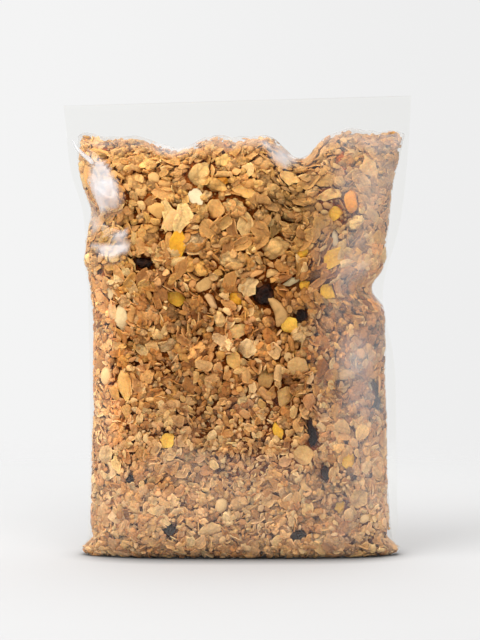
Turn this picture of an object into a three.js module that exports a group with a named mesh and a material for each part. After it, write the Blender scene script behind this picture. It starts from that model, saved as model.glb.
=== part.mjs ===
// A clear film pouch packed tight with granola, standing on its filled base.
// The film lies close over the granola, so the filled part is one solid whose surface carries the mounds
// of the flakes and clusters behind it. The empty film, pressed flat, is a second solid: a header above
// the granola and a narrow margin down each side.
// Millimetres, +Z up, front towards -Y. The origin is the middle of the base, on the ground.
import * as THREE from "three";
import { ImprovedNoise } from "three/addons/math/ImprovedNoise.js";

// ---- Driving dimensions ----
const FILL_HEIGHT = 207; // ground to the top of the granola
const HEADER_LEFT = 225; // ground to the film's top edge, at its left and right corners
const HEADER_RIGHT = 230;
const DEPTH = 54; // front to back, where the filled pouch is thickest
const BASE_DEPTH = 34; // front to back of the flat that it stands on
const FILM_PLY = 0.6; // both layers of the empty film together, stiffened so that they stand
const GAP = 0.7; // between the filled part and the empty film

const WAIST_HALF = 73; // half width of the granola at its waist
const EAR_REACH = 5.5; // how far the bottom corners stick out
const EAR_LEVEL = 2.5; // height of their tips
const FIN_FOOT = 9; // the side margins start above the ears

const FLAKE = 8.5; // middle size of a flake or small cluster
const FLAKE_COUNT = 1200;
const SCATTER = 0.03; // how far the flakes stray from an even spread
const MOUND_LOW = 0.3; // how far the mounds stand out of the hollows between them
const MOUND_HIGH = 1.9;
const DENT = 0.9; // slow unevenness of the packed surface, over about DENT_SPAN
const DENT_SPAN = 30;

const BLUNT_X = 0.7; // how full the pouch is in plan: 1 is an ellipse, less is nearer to a box
const BLUNT_Y = 0.76;
const SEAM_CALM = 8; // the relief fades out within this distance of the side seams
const THIN = 14; // and where the pouch's half depth is less than this

const MESH_STEP = 4; // spacing of the filled part's points
const UPRIGHT = 34; // steps up each margin of the empty film, along the header and from its inner edge out
const LEVEL = 46;
const COLUMNS = 3;
const CORNER = 3; // the margins end this far below the granola's top, where the header takes over

// ---- Helpers ----
const FINE = 720; // steps in which a curve is measured
const roughness = new ImprovedNoise();
const gauss = (value, at, reach) => Math.exp(-(((value - at) / reach) ** 2));
const signedPower = (value, power) => Math.sign(value) * Math.abs(value) ** power;
const blend = (low, high, share) => low + (high - low) * share;

// Repeatable random numbers in 0..1.
function randomFrom(seed) {
  let state = seed;
  return () => {
    state = (state * 1664525 + 1013904223) % 4294967296;
    return state / 4294967296;
  };
}

// ---- Outline seen from the front ----
// Each edge is a slow curve with the pinches and bulges where the film is gathered.
function fillRight(z) {
  const slow = WAIST_HALF + 0.8 + 4.2 * ((z - 100) / 100) ** 2;
  return slow - 7.5 * gauss(z, 134, 8) - 1.5 * gauss(z, 150, 10) + 2.5 * gauss(z, 200, 12);
}

function fillLeft(z) {
  const slow = -WAIST_HALF + 0.4 - 2.6 * ((z - 90) / 90) ** 2;
  return slow - 2.2 * gauss(z, 148, 12) + 1.8 * gauss(z, 173, 6) - 3.2 * gauss(z, 194, 13);
}

function filmRight(z) {
  return Math.min(79.6 + 5.5 * ((z - 75) / 130) ** 2, 86.25) - 8 * gauss(z, 132, 26);
}

function filmLeft(z) {
  return -74 - 1.9 * ((z - 80) / 80) ** 2 - 6 / (1 + Math.exp((183 - z) / 5));
}

// The film's top edge and the height that the granola reaches below it.
const filmTop = (x) => blend(HEADER_LEFT, HEADER_RIGHT, (x + 86) / 172);
const fillDip = (x) => 5.5 * gauss(x, -31, 12) + 10.5 * gauss(x, 31, 11) - 3 * gauss(x, 62, 16);

// ---- Front to back ----
// Half the depth at a height: the foot draws in to the flat base, and the shoulder closes to the header.
function halfDepth(z) {
  const foot = 1 - (1 - BASE_DEPTH / DEPTH) * Math.exp(-z / 9) - 0.09 * Math.exp(-z / 45);
  const belly = 1 - 0.12 * Math.max(0, (z - 75) / FILL_HEIGHT);
  const shoulder = Math.max(0, (z - 150) / (FILL_HEIGHT + 0.4 - 150));
  return (DEPTH / 2) * foot * belly * (1 - shoulder ** 3.2) ** 0.55;
}

// Folds pressed into the film: a valley from one point to another on the front or back face, as x and z.
const CREASES = [
  { side: -1, from: [-80, 204], to: [-63, 174], width: 3.2, depth: 3 },
  { side: -1, from: [-73, 173], to: [-52, 158], width: 3, depth: 1.8 },
  { side: -1, from: [68, 134], to: [50, 141], width: 4, depth: 2 },
  { side: 1, from: [68, 134], to: [46, 128], width: 4, depth: 2.4 },
  { side: 1, from: [-73, 172], to: [-48, 180], width: 4, depth: 2.2 },
  { side: 1, from: [-30, 203], to: [-38, 178], width: 4, depth: 2 },
];

function creaseDepth(x, side, z) {
  return CREASES.filter((crease) => crease.side === side).reduce((deepest, crease) => {
    const start = new THREE.Vector2(...crease.from);
    const along = new THREE.Vector2(...crease.to).sub(start);
    const offset = new THREE.Vector2(x, z).sub(start);
    const share = THREE.MathUtils.clamp(offset.dot(along) / along.lengthSq(), 0, 1);
    const away = offset.sub(along.multiplyScalar(share)).length();
    const fade = 1 - share ** 3;
    return Math.max(deepest, crease.depth * fade * gauss(away, 0, crease.width));
  }, 0);
}

// ---- Filled part ----
// One level's outline before relief, as evenly spaced points: a rounded pillow section with an ear at each
// end near the ground.
function sectionPoint(z, angle) {
  const left = fillLeft(z);
  const right = fillRight(z);
  const c = Math.cos(angle);
  const s = Math.sin(angle);
  const ear = EAR_REACH * gauss(z, EAR_LEVEL, 3.6) * Math.abs(c) ** 14;
  const draw = 1 - 0.035 * Math.exp(-z / 5);
  const x = (left + right) / 2 + ((right - left) / 2) * draw * signedPower(c, BLUNT_X) + Math.sign(c) * ear;
  const side = s < 0 ? -1 : 1;
  const depth = halfDepth(z) * Math.abs(s) ** BLUNT_Y;
  return new THREE.Vector2(x, side * Math.max(0, depth - creaseDepth(x, side, z)));
}

function evenSection(z, count, shift) {
  const fine = Array.from({ length: FINE + 1 }, (_, i) => sectionPoint(z, (i / FINE) * 2 * Math.PI));
  const run = [0];
  for (let i = 1; i < fine.length; i++) run.push(run[i - 1] + fine[i].distanceTo(fine[i - 1]));
  const total = run[run.length - 1];
  let at = 0;
  return Array.from({ length: count }, (_, i) => {
    const target = ((i + shift) / count) * total;
    while (run[at + 1] < target) at++;
    return fine[at].clone().lerp(fine[at + 1], (target - run[at]) / (run[at + 1] - run[at]));
  });
}

// Levels spaced evenly along the middle of the front, from the base edge to the ridge at the top.
function levels() {
  const fine = Array.from({ length: FINE + 1 }, (_, i) => (i / FINE) * FILL_HEIGHT);
  const run = [0];
  for (let i = 1; i < fine.length; i++) {
    run.push(run[i - 1] + Math.hypot(fine[i] - fine[i - 1], halfDepth(fine[i]) - halfDepth(fine[i - 1])));
  }
  const count = Math.round(run[run.length - 1] / MESH_STEP);
  return Array.from({ length: count + 1 }, (_, i) => {
    const target = (i / count) * run[run.length - 1];
    return fine[Math.max(0, run.findIndex((length) => length >= target))] ?? FILL_HEIGHT;
  });
}

// Sinks the ridge where the granola lies lower, and leaves the rest as it is.
const settle = (x, z) => z - fillDip(x) * (z / FILL_HEIGHT) ** 9;

// The mounds: one for each flake or cluster against the film, spread by the golden ratio with some scatter.
function mounds() {
  const random = randomFrom(11);
  const golden = (Math.sqrt(5) - 1) / 2;
  return Array.from({ length: FLAKE_COUNT }, (_, i) => {
    const z = blend(1, FILL_HEIGHT - 2, (i + random()) / FLAKE_COUNT);
    const [flat] = evenSection(z, 1, (i * golden + SCATTER * random()) % 1);
    return {
      centre: new THREE.Vector3(flat.x, flat.y, settle(flat.x, z)),
      reach: FLAKE * blend(0.45, 0.95, random() ** 1.5),
      height: blend(MOUND_LOW, MOUND_HIGH, random()),
    };
  });
}

// How far the highest mound over a point stands out there.
function raisedBy(lumps, point) {
  return lumps.reduce((highest, lump) => {
    const away = point.distanceTo(lump.centre) / lump.reach;
    return away < 1 ? Math.max(highest, lump.height * Math.sqrt(1 - away * away)) : highest;
  }, 0);
}

// One level of the surface: its outline, drawn in wherever no mound stands out.
function skinRing(z, count, shift, lumps) {
  return evenSection(z, count, shift).map((flat, i, section) => {
    const point = new THREE.Vector3(flat.x, flat.y, settle(flat.x, z));
    const slow = roughness.noise(point.x / DENT_SPAN, point.y / DENT_SPAN, point.z / DENT_SPAN);
    const sunk = MOUND_HIGH - raisedBy(lumps, point) + DENT * (0.5 + slow);
    const room = Math.min(1, halfDepth(z) / THIN) * Math.min(1, Math.abs(flat.y) / SEAM_CALM);
    const along = section[(i + 1) % count].clone().sub(section[(i + count - 1) % count]).normalize();
    point.x -= along.y * sunk * room;
    point.y += along.x * sunk * room;
    return point;
  });
}

function filledPart() {
  const heights = levels();
  const rows = heights.length;
  const across = Math.round((2 * (2 * WAIST_HALF + DEPTH * 0.6)) / MESH_STEP);
  const lumps = mounds();
  const points = heights.flatMap((z, row) => skinRing(z, across, (row % 2) / 2, lumps));
  const base = points.push(new THREE.Vector3(0, 0, 0)) - 1;
  const at = (row, i) => row * across + (i % across);
  const faces = [];
  for (let row = 0; row < rows - 1; row++) {
    for (let i = 0; i < across; i++) {
      // Every other level is shifted by half a step, so the diagonal of the split changes with it.
      const low = row % 2 ? at(row + 1, i + 1) : at(row + 1, i);
      const high = row % 2 ? at(row, i) : at(row, i + 1);
      faces.push(at(row, i), at(row, i + 1), low);
      faces.push(high, at(row + 1, i + 1), at(row + 1, i));
    }
  }
  for (let i = 0; i < across; i++) faces.push(base, at(0, i + 1), at(0, i));
  // The top level is a narrow loop, closed by a zip between its front and back.
  for (let i = 0; i < across / 2 - 1; i++) {
    const opposite = across - 1 - i;
    faces.push(at(rows - 1, i), at(rows - 1, i + 1), at(rows - 1, opposite));
    if (i + 1 < opposite - 1) {
      faces.push(at(rows - 1, i + 1), at(rows - 1, opposite - 1), at(rows - 1, opposite));
    }
  }
  return closedGeometry(points, faces);
}

function closedGeometry(points, faces) {
  const geometry = new THREE.BufferGeometry().setFromPoints(points);
  geometry.setIndex(faces);
  geometry.computeVertexNormals();
  return geometry;
}

// ---- Empty film ----
// A ribbon from the foot of the left margin, up, across the header and down the right margin. Each station
// has an inner point, along the granola, and an outer point, on the film's edge.
function stations() {
  const heights = Array.from({ length: UPRIGHT + 1 }, (_, i) =>
    blend(FIN_FOOT, FILL_HEIGHT - CORNER, i / UPRIGHT),
  );
  const left = heights.map((z) => ({ inner: [fillLeft(z) - GAP, z], outer: [filmLeft(z), z] }));
  const right = heights.map((z) => ({ inner: [fillRight(z) + GAP, z], outer: [filmRight(z), z] }));
  const header = Array.from({ length: LEVEL + 1 }, (_, i) => {
    const share = i / LEVEL;
    const x = blend(fillLeft(FILL_HEIGHT) - GAP, fillRight(FILL_HEIGHT) + GAP, share);
    const edge = blend(filmLeft(HEADER_LEFT), filmRight(HEADER_RIGHT), share);
    return { inner: [x, settle(x, FILL_HEIGHT) + GAP], outer: [edge, filmTop(edge)] };
  });
  return [...left, ...header, ...right.reverse()];
}

// The free film waves a little, more towards its top edge.
function filmWave(x, z) {
  const free = THREE.MathUtils.smoothstep(z, FILL_HEIGHT - 6, HEADER_RIGHT);
  return free * (1.3 * Math.sin(x / 19 + 0.6) + 0.7 * Math.sin(x / 8.5));
}

function emptyFilm() {
  const line = stations();
  const points = [];
  for (const side of [-1, 1]) {
    for (const { inner, outer } of line) {
      for (let c = 0; c <= COLUMNS; c++) {
        const x = blend(inner[0], outer[0], c / COLUMNS);
        const z = blend(inner[1], outer[1], c / COLUMNS);
        points.push(new THREE.Vector3(x, filmWave(x, z) + (side * FILM_PLY) / 2, z));
      }
    }
  }
  const wide = COLUMNS + 1;
  const back = line.length * wide;
  const faces = [];
  const quad = (a, b, c, d) => faces.push(a, c, b, a, d, c);
  for (let k = 0; k < line.length - 1; k++) {
    const here = k * wide;
    const next = here + wide;
    for (let c = 0; c < COLUMNS; c++) {
      quad(here + c, here + c + 1, next + c + 1, next + c);
      quad(back + here + c, back + next + c, back + next + c + 1, back + here + c + 1);
    }
    quad(here, next, back + next, back + here);
    quad(here + COLUMNS, back + here + COLUMNS, back + next + COLUMNS, next + COLUMNS);
  }
  for (let c = 0; c < COLUMNS; c++) {
    const last = (line.length - 1) * wide + c;
    quad(c, back + c, back + c + 1, c + 1);
    quad(last, last + 1, back + last + 1, back + last);
  }
  return closedGeometry(points, faces);
}

// ---- Materials and assembly ----
const granolaFinish = new THREE.MeshStandardMaterial({ color: 0xb9884f, roughness: 0.55, metalness: 0 });
const filmFinish = new THREE.MeshStandardMaterial({
  color: 0xf1f2ee,
  roughness: 0.08,
  metalness: 0,
  transparent: true,
  opacity: 0.3,
});

const granola = new THREE.Mesh(filledPart(), granolaFinish);
granola.name = "granola";
const film = new THREE.Mesh(emptyFilm(), filmFinish);
film.name = "film";

const pouch = new THREE.Group();
pouch.add(granola, film);
export default pouch;
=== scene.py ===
"""A clear film pouch of granola that stands on its filled base: real pieces and film around the CAD frame."""
import math

import bmesh
import bpy
import numpy as np
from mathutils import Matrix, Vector


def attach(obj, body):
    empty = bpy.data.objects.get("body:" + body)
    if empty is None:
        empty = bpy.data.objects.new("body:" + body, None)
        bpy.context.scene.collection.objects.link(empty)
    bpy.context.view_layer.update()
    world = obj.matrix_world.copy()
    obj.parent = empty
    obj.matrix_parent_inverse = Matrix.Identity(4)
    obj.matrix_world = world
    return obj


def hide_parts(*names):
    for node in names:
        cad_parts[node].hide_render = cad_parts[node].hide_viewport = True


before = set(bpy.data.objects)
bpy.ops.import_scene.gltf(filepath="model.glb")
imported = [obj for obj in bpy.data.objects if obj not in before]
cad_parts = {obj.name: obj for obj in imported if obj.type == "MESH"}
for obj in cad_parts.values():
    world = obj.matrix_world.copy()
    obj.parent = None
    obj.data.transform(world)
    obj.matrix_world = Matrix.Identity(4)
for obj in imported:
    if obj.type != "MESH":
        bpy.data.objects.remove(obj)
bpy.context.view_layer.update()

MM = 0.001

# ---- Driving dimensions, in millimetres, the same as the solids' ----
FILL_HEIGHT = 207
HEADER_LEFT = 225
HEADER_RIGHT = 230
DEPTH = 54
BASE_DEPTH = 34
WAIST_HALF = 73
EAR_REACH = 5.5
EAR_LEVEL = 2.5
FIN_FOOT = 9
BLUNT_X = 0.7
BLUNT_Y = 0.76

# ---- The chart: the pouch's surface unrolled into cells ----
CELL = 0.5
AROUND = 720  # cells round the pouch, starting at the right seam and running over the back
SPINE = 20  # pieces sink towards a line this far in from the seams, the ground and the top
FILM_STEP = 4  # cells between the film's points
CORE_STEP = 6
CORE_DEEP = 6.5  # the core lies about this far under the chart's surface where the granola is loose
CORE_SHALLOW = 4.2  # and about this far where it is pressed tight
EAR_HOLLOW = 3.0  # over the pointed bottom corners the granola stays this far short of the film
FILM_GAP = 0.12  # pieces' points are held this far under the film as the chart has it; its mesh is coarser
TUCK = 1.0  # the empty film's inner edge lies this far inside the granola
SEAL_LINE = 209  # the height at which the header's plies are pressed together
MARGIN_COLUMNS = 15

# ---- One fold of bunched film at the header's left corner ----
FOLD_FROM = (-82.0, -2.2, 208.0)
FOLD_TO = (-71.6, -11.6, 195.8)
FOLD_HALF = 1.4
FOLD_STEPS = 14
FOLD_SIDES = 6

# ---- The share of the light that the film's milky veil scatters: the film's own milkiness where it is bunched, painted reflection where it stands in for the studio's reflection, and painted highlight where it whitens the window's reflection ----
# painted highlight: more veil over the taut facets whitens the window's mirrored reflection there
TAUT_HIGHLIGHT_HAZE = 0.42
# the fold is bunched film, and its milkiness is also a painted highlight along the fold
FOLD_HAZE_AND_HIGHLIGHT = 0.4
# painted reflection: the veil over the right side stands in for the studio's reflection in the film
RIGHT_REFLECTION_HAZE = 0.17
TOP_HAZE = 0.1
REAR_HAZE = 0.03
# painted reflection: a faint veil towards the foot stands in for the floor's reflection in the film
FOOT_REFLECTION_HAZE = 0.012

# ---- Studio ----
AMBIENT_LOW = 0.44
AMBIENT_HIGH = 0.82
# The ground that the camera sees is painted lighter on the left, on the key lamp's side: painted light.
GROUND_LEFT = 0.905
GROUND_RIGHT = 0.855
# The paper is painted lighter towards the back, painted light that makes up for the shade and fall-off of
# light behind the pouch.
PAPER_NEAR = 0.505
PAPER_FAR = 0.6
PAPER_FADE = (0.2, 0.5)  # the paper fades out between these distances, in metres
# Painted contact shadow: the paper is darkened near the pouch, down to CONTACT_SHADE of its light.
CONTACT_REACH = 0.014  # the paper darkens where the pouch stands this near, in metres
CONTACT_SHADE = 0.3

# ---- The view that the pouch is dressed for ----
TILT = math.radians(5)  # the camera looks down by this much
VIEW_FAR = 1500
AIM = (1.25, 0, 118.1)
LENS = 168.75


def gauss(value, at, reach):
    return np.exp(-(((value - at) / reach) ** 2))


def blend(low, high, share):
    return low + (high - low) * share


def smooth_step(value, low, high):
    share = np.clip((value - low) / (high - low), 0, 1)
    return share * share * (3 - 2 * share)


def unit(vectors):
    return vectors / np.linalg.norm(vectors, axis=-1, keepdims=True)


def run_lengths(across, up):
    """How far along a line each of its points is."""
    return np.concatenate([[0], np.cumsum(np.hypot(np.diff(across), np.diff(up)))])


# ---- Outline and depth ----
# Bumps in the outline and dips in the upper edge: middle, reach, and size to the right or downwards.
RIGHT_BUMPS = ((134, 8, -7.5), (150, 10, -1.5), (200, 12, 2.5))
LEFT_BUMPS = ((148, 12, -2.2), (173, 6, 1.8), (194, 13, -3.2))
TOP_DIPS = ((-31, 12, 5.5), (31, 11, 10.5), (62, 16, -3))


def with_bumps(value, at, bumps):
    for middle, reach, size in bumps:
        value = value + size * gauss(at, middle, reach)
    return value


def fill_right(z):
    return with_bumps(WAIST_HALF + 0.8 + 4.2 * ((z - 100) / 100) ** 2, z, RIGHT_BUMPS)


def fill_left(z):
    return with_bumps(-WAIST_HALF + 0.4 - 2.6 * ((z - 90) / 90) ** 2, z, LEFT_BUMPS)


def film_right(z):
    return np.minimum(79.6 + 5.5 * ((z - 75) / 130) ** 2, 86.25) - 8 * gauss(z, 132, 26)


def film_left(z):
    return -74 - 1.9 * ((z - 80) / 80) ** 2 - 6 / (1 + np.exp((183 - z) / 5))


def film_top(x):
    return blend(HEADER_LEFT, HEADER_RIGHT, (x + 86) / 172)


def half_depth(z):
    """Half the pouch's depth at a height: drawn in at the foot and rounded off at the shoulder."""
    foot = 1 - (1 - BASE_DEPTH / DEPTH) * np.exp(-z / 9) - 0.09 * np.exp(-z / 45)
    belly = 1 - 0.12 * np.maximum(0, (z - 75) / FILL_HEIGHT)
    shoulder = np.maximum(0, (z - 150) / (FILL_HEIGHT + 0.4 - 150))
    return DEPTH / 2 * foot * belly * (1 - shoulder**3.2) ** 0.55


def settle(x, z):
    """Lowers a height by the dips in the upper edge, the more the higher it is."""
    return z - with_bumps(0, x, TOP_DIPS) * (z / FILL_HEIGHT) ** 9


# Valleys pressed into the film: face, from, to, width and depth.
CREASES = [
    (-1, (-80, 204), (-63, 174), 3.2, 3.0),
    (-1, (-73, 173), (-52, 158), 3.0, 1.8),
    (-1, (68, 134), (50, 141), 4.0, 2.0),
    (1, (68, 134), (46, 128), 4.0, 2.4),
    (1, (-73, 172), (-48, 180), 4.0, 2.2),
    (1, (-30, 203), (-38, 178), 4.0, 2.0),
]


def along_line(x, z, start, end):
    """How far along a line each point is, from 0 to 1, and how far away from it."""
    run = np.subtract(end, start)
    dx = x - start[0]
    dz = z - start[1]
    share = np.clip((dx * run[0] + dz * run[1]) / (run @ run), 0, 1)
    return share, np.hypot(dx - share * run[0], dz - share * run[1])


def crease_depth(x, side, z):
    """How deep the creases press into the film."""
    deepest = np.zeros_like(x)
    for face, start, end, width, depth in CREASES:
        share, away = along_line(x, z, start, end)
        deepest = np.maximum(deepest, (side == face) * depth * (1 - share**3) * gauss(away, 0, width))
    return deepest


def section(z, angle):
    """Where the granola's surface is at a height, x and y, for an angle round it."""
    left = fill_left(z)
    right = fill_right(z)
    c = np.cos(angle)
    s = np.sin(angle)
    ear = EAR_REACH * gauss(z, EAR_LEVEL, 3.6) * np.abs(c) ** 14
    draw = 1 - 0.035 * np.exp(-z / 5)
    x = (left + right) / 2 + (right - left) / 2 * draw * np.sign(c) * np.abs(c) ** BLUNT_X + np.sign(c) * ear
    side = np.where(s < 0, -1, 1)
    depth = half_depth(z) * np.abs(s) ** BLUNT_Y
    return x, side * np.maximum(0, depth - crease_depth(x, side, z))


def even_section(z):
    """The section at a height as AROUND points that are evenly far apart."""
    angle = np.linspace(0, 2 * math.pi, 721)
    x, y = section(z, angle)
    run = run_lengths(x, y)
    at = np.linspace(0, run[-1], AROUND, endpoint=False)
    return np.interp(at, run, x), np.interp(at, run, y)


def make_chart():
    """Rows of points from the middle line of the base, out to its edge, up the sides and over the top
    ridge."""
    fine = np.linspace(0, FILL_HEIGHT, 2001)
    run = run_lengths(fine, half_depth(fine))
    levels = np.interp(np.arange(0, run[-1], CELL), run, fine)
    rows = []
    x, y = even_section(0.0)
    base_rows = int(BASE_DEPTH / 2 / CELL)
    for i in range(base_rows):
        rows.append(np.stack([x, y * i / base_rows, np.zeros_like(x)], 1))
    for z in levels:
        x, y = even_section(z)
        rows.append(np.stack([x, y, settle(x, z)], 1))
    top_rows = int(half_depth(levels[-1]) / CELL)
    top_rows += -(len(rows) + top_rows - 1) % FILM_STEP
    lift = 1.2
    for i in range(1, top_rows + 1):
        share = i / top_rows
        rows.append(np.stack([x, y * (1 - share), settle(x, levels[-1]) + lift * (1 - (1 - share) ** 2)], 1))
    points = np.array(rows)
    inner_left = fill_left(points[..., 2]) + SPINE
    inner_right = fill_right(points[..., 2]) - SPINE
    spine = np.zeros_like(points)
    spine[..., 0] = np.clip(points[..., 0], inner_left, inner_right)
    spine[..., 2] = np.clip(points[..., 2], SPINE, FILL_HEIGHT - SPINE)
    return points, unit(points - spine), base_rows


POINTS, OUTWARD, BASE_ROWS = make_chart()
ROWS = len(POINTS)


def place(rows, cols, height):
    """Chart cells and heights over the film's surface, in millimetres, to points. Past a middle line the
    chart carries on over the other side."""
    over = rows > ROWS - 1
    under = rows < 0
    cols = np.where(over | under, -cols, cols) % AROUND
    rows = np.where(over, 2 * (ROWS - 1) - rows, np.abs(rows))
    r0 = np.clip(rows.astype(int), 0, ROWS - 2)
    c0 = cols.astype(int) % AROUND
    fr = (rows - r0)[..., None]
    fc = (cols - np.floor(cols))[..., None]
    c1 = (c0 + 1) % AROUND
    point = 0
    outward = 0
    for r, c, weight in (
        (r0, c0, (1 - fr) * (1 - fc)),
        (r0 + 1, c0, fr * (1 - fc)),
        (r0, c1, (1 - fr) * fc),
        (r0 + 1, c1, fr * fc),
    ):
        point = point + POINTS[r, c] * weight
        outward = outward + OUTWARD[r, c] * weight
    return point + outward * height[..., None]


def project(points):
    """Where the camera sees a point, as x and z in the pouch's middle plane."""
    x, y, z = points[..., 0] - AIM[0], points[..., 1], points[..., 2] - AIM[2]
    near = VIEW_FAR / (VIEW_FAR + y * math.cos(TILT) - z * math.sin(TILT))
    return x * near + AIM[0], (y * math.sin(TILT) + z * math.cos(TILT)) * near + AIM[2] * math.cos(TILT)


SEEN_X, SEEN_Z = project(POINTS)


def front_cell(x, z):
    """The chart cell on the front face that the camera sees at x and z."""
    half = AROUND // 2
    away = (SEEN_X[:, half:] - x) ** 2 + (SEEN_Z[:, half:] - z) ** 2
    away[:BASE_ROWS] += 1e6
    row, col = np.unravel_index(np.argmin(away), away.shape)
    return row, col + half


def soft_noise(span, seed, shape=None):
    """A smooth random field over the chart with a mean of 0 and a deviation of 1. span is in
    millimetres."""
    shape = shape or (ROWS, AROUND)
    white = np.random.default_rng(seed).standard_normal(shape)
    fy = np.fft.fftfreq(shape[0])[:, None]
    fx = np.fft.rfftfreq(shape[1])[None, :]
    cells = span / CELL / 2.5
    keep = np.exp(-2 * (math.pi * cells) ** 2 * (fx**2 + fy**2))
    field = np.fft.irfft2(np.fft.rfft2(white) * keep, s=shape)
    return (field - field.mean()) / field.std()


X, Y, Z = np.moveaxis(POINTS, -1, 0)
FRONT = Y < 0
# At the ridge's two ends the chart's rows run together, so nothing is laid there.
SQUEEZED = np.linalg.norm(np.gradient(POINTS, axis=0), axis=-1) < 0.3 * CELL

# ---- The film's form over the granola ----
WINDOW_WAY = (-0.80, -0.55, 0.55)  # towards the window light that the film mirrors
# Flat facets of taut film on the front, as the camera sees their corners: x and z.
FACETS = [
    (
        (-72.2, 198.2), (-66.8, 197.2), (-63.0, 191.2), (-58.6, 178.8), (-60.0, 174.2), (-66.2, 171.4),
        (-71.4, 186.2),
    ),
    ((-64.8, 157.2), (-59.8, 160.8), (-55.2, 162.8), (-55.8, 159.2), (-60.2, 156.2)),
    ((-72.8, 155.8), (-54.2, 155.8), (-55.2, 152.2), (-62.2, 148.8), (-68.2, 150.8)),
]
# Film that is bunched and milky but mirrors nothing: corners, and the share of light that it scatters. The
# second veil is no bunched film: it whitens the lower half of the first facet's reflection, a painted
# highlight.
VEILS = [
    (((-74.2, 177.2), (-70.2, 171.2), (-68.8, 164.2), (-72.2, 162.2), (-73.8, 169.8)), 0.4),
    # painted highlight over the lower half of the first facet
    (((-69.5, 188.0), (-62.0, 188.0), (-59.0, 179.0), (-60.0, 174.5), (-65.6, 172.0), (-68.2, 178.0)), 0.22),
    (((15.2, 202.8), (28.0, 202.0), (31.5, 197.5), (23.5, 194.0), (18.5, 196.5)), 0.28),
    (((-42.0, 207.5), (-24.0, 207.0), (-25.0, 200.5), (-33.0, 199.0), (-39.0, 202.0)), 0.28),
]
# Raised wrinkles where the film is slack: face, from, to, width and height.
WRINKLES = [
    (-1, (-70, 157), (-54, 163), 2.6, 1.5),
    (-1, (-74, 148), (-55, 152), 2.8, 1.7),
    (-1, (-79, 206), (-71, 192), 1.6, 1.6),
    (-1, (-72, 196), (-60, 176), 5.0, 1.4),
    (-1, (74, 150), (56, 158), 2.4, 1.0),
    (-1, (70, 126), (54, 122), 2.4, 0.9),
    (1, (66, 190), (52, 176), 2.6, 1.4),
    (1, (-70, 150), (-50, 156), 2.8, 1.5),
    (1, (70, 60), (52, 66), 2.8, 1.2),
]


def film_offset():
    """How far the film lies over the chart's surface."""
    slack = smooth_step(Z, 120, 200)
    lift = 0.25 + 0.22 * soft_noise(16, 5) + (0.25 + 0.25 * slack) * soft_noise(34, 6)
    side = np.where(FRONT, -1, 1)
    for face, start, end, width, height in WRINKLES:
        share, away = along_line(X, Z, start, end)
        lift += (side == face) * height * (1 - share**4) * gauss(away, 0, width)
    lift += smooth_step(Z, 197, 205) * (1.0 + 0.8 * soft_noise(9, 13))
    return lift * np.clip(Z / 4, 0, 1)


def outside(corners):
    """How far each cell lies outside a convex outline that is given as the camera sees it."""
    corners = np.array(corners)
    ahead = np.roll(corners, -1, 0)
    spin = np.sign((corners[:, 0] * ahead[:, 1] - ahead[:, 0] * corners[:, 1]).sum())
    away = np.full(SEEN_X.shape, -1e3)
    for corner, run in zip(corners, ahead - corners):
        normal = spin * np.array((run[1], -run[0])) / np.hypot(*run)
        away = np.maximum(away, (SEEN_X - corner[0]) * normal[0] + (SEEN_Z - corner[1]) * normal[1])
    return away


def flatten_facets(lift):
    """Pulls the film flat where it is taut, at the slope that mirrors the window light to the camera. Also
    gives how far each cell belongs to such a facet."""
    taut = np.zeros_like(lift)
    normal = unit(unit(np.array(WINDOW_WAY)) + np.array((0, -math.cos(TILT), math.sin(TILT))))
    for corners in FACETS:
        row, col = front_cell(*np.mean(corners, 0))
        middle = POINTS[row, col] + OUTWARD[row, col] * (lift[row, col] + 0.4)
        away = outside(corners) + 0.4 * soft_noise(5, 9)
        flat = ((middle - POINTS) @ normal) / np.maximum(OUTWARD @ normal, 0.2)
        share = FRONT * (1 - smooth_step(away, 0, 2.6))
        lift = blend(lift, np.clip(flat, -1.8, 4), share)
        taut = np.maximum(taut, FRONT * (1 - smooth_step(away, -0.6, 1.2)))
    return lift, taut


LIFT, TAUT = flatten_facets(film_offset())

# ---- How the granola is packed ----
# Loose granola shows deep gaps and tilted flakes; elsewhere it is pressed flat against the film.
LOOSE = np.clip(
    0.16
    + 0.95 * gauss(X, -4, 54) * gauss(Z, 125, 42)
    + 0.4 * gauss(X, 26, 28) * gauss(Z, 172, 18)
    + 0.16 * soft_noise(20, 7),
    0,
    1,
)
FINE = np.clip(gauss(X, 4, 44) * gauss(Z, 50, 26) + 0.25 * gauss(Z, 10, 14) + 0.15 * soft_noise(18, 8), 0, 1)
PIECE_SCALE = blend(1.0, 1.22, smooth_step(Z, 125, 165)) * blend(1.0, 0.66, FINE)
# The way that tilted flakes run, in radians, is alike where they lie in bundles.
GRAIN_WAY = 1.1 * soft_noise(26, 12)


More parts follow.
